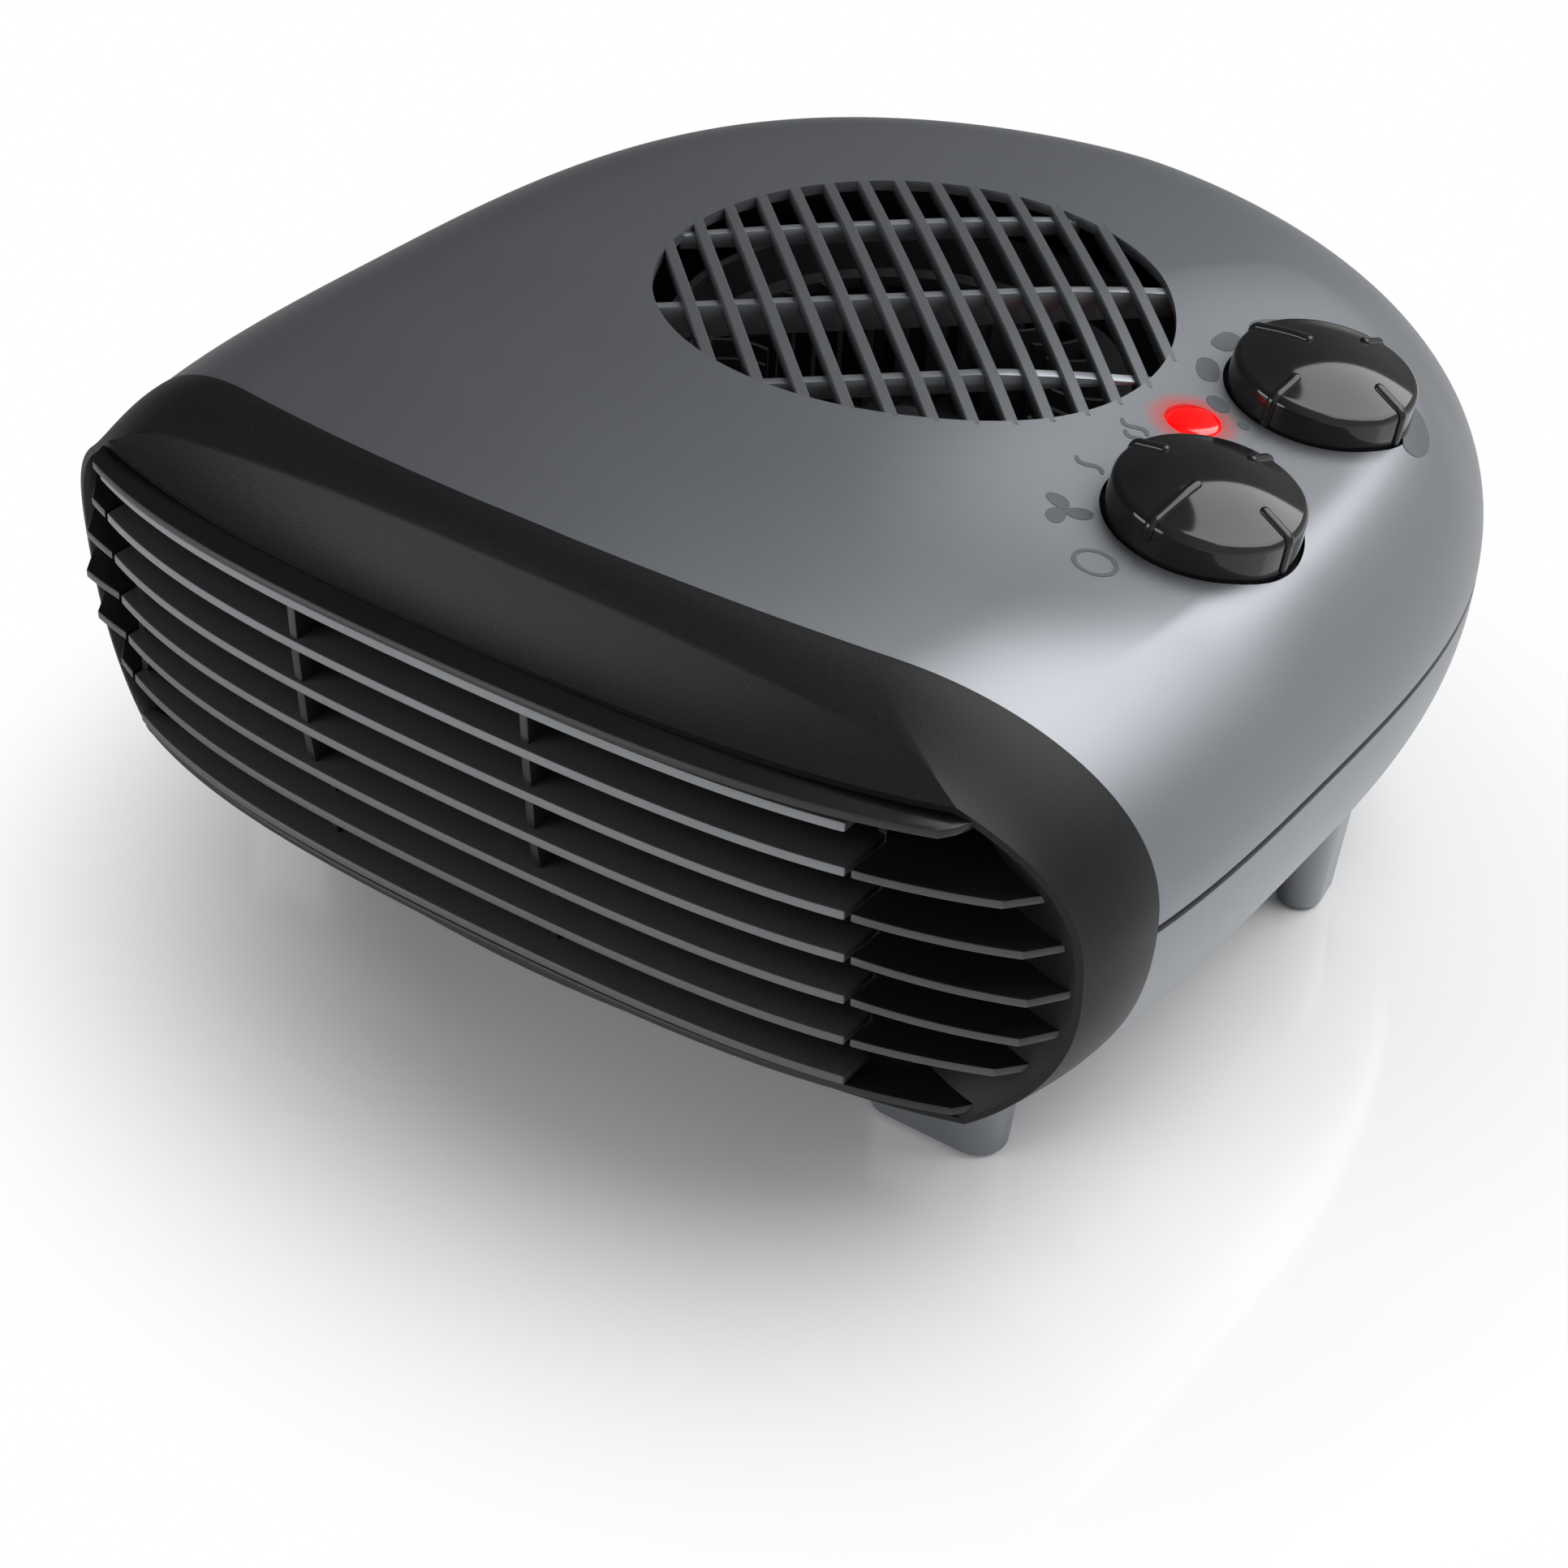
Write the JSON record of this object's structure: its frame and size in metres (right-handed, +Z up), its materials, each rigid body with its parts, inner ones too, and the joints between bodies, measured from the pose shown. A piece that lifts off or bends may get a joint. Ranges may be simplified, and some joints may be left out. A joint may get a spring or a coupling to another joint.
{
  "type": "fan heater",
  "caption": "Flat desktop fan heater with silver shells, a black front bezel, bowed outlet slats, a round top grille, two knobs and short feet.",
  "frame": {"origin": "centre of the footprint's bounding box, on the floor", "axes": "+Z up, -Y is the front that the warm air leaves by, +X is to the right of a person facing that front, and the knobs are on that side"},
  "size_m": [0.2596, 0.2874, 0.1243],
  "materials": {
    "silver_shell": "satin silver-grey moulded plastic",
    "black_bezel": "fine-textured black moulded plastic",
    "graphite_slats": "smooth dark graphite plastic",
    "gloss_black": "polished black plastic",
    "cream_plastic": "plain moulded cream plastic",
    "white_plastic": "plain moulded white plastic",
    "ceramic": "unglazed pale ceramic",
    "steel": "plain turned steel",
    "zinc_steel": "zinc-plated sheet with a faint spangle",
    "core_steel": "stacked laminations, dull grey",
    "copper": "enamelled copper winding",
    "bronze": "sintered bronze",
    "red_lens": "clear red lens, glowing",
    "black_inner": "heat-proof black plastic",
    "mica": "mica board, layered and slightly shiny",
    "ribbon_metal": "oxidised resistance ribbon",
    "cutout_black": "black heat-proof plastic",
    "rubber": "soft black rubber"
  },
  "bodies": {
    "housing": {"upper_shell": "silver_shell", "lower_shell": "silver_shell", "front_bezel": "black_bezel", "outlet_grille": "graphite_slats", "mode_switch": "cream_plastic", "thermostat": "ceramic", "lamp_lens": "red_lens", "lamp_holder": "white_plastic", "motor_stator": "core_steel", "motor_coil": "copper", "upper_bracket": "zinc_steel", "lower_bracket": "zinc_steel", "motor_bushes": "bronze", "motor_screws": "steel", "blower_scroll": "black_inner", "air_duct": "zinc_steel", "heater_frame": "mica", "front_ribbons": "ribbon_metal", "rear_ribbons": "ribbon_metal", "thermal_cutout": "cutout_black", "thermal_fuse": "ceramic", "terminal_block": "cream_plastic", "cord_bush": "rubber", "cord_clamp": "cutout_black", "clamp_screws": "steel", "shell_screws": "steel", "foot_pads": "rubber"},
    "mode_knob_set": {"mode_knob": "gloss_black", "mode_shaft": "steel"},
    "thermostat_knob_set": {"thermostat_knob": "gloss_black", "thermostat_shaft": "steel"},
    "rotor": {"blower_wheel": "black_inner", "motor_shaft": "steel", "motor_rotor": "core_steel"}
  },
  "joints": [
    {"name": "mode_turn", "type": "hinge", "parent": "housing", "child": "mode_knob_set", "pos_m": [0.0918, -0.02375, 0.1091], "axis": [0.1392, 0, 0.9903], "range_deg": [-115, 0]},
    {"name": "thermostat_turn", "type": "hinge", "parent": "housing", "child": "thermostat_knob_set", "pos_m": [0.0866, 0.03565, 0.1091], "axis": [0.1392, 0, 0.9903], "range_deg": [-150, 85]},
    {"name": "fan_spin", "type": "hinge", "parent": "housing", "child": "rotor", "pos_m": [0.0039, 0.0084, 0.0735], "axis": [0, 0, 1], "continuous": true}
  ]
}
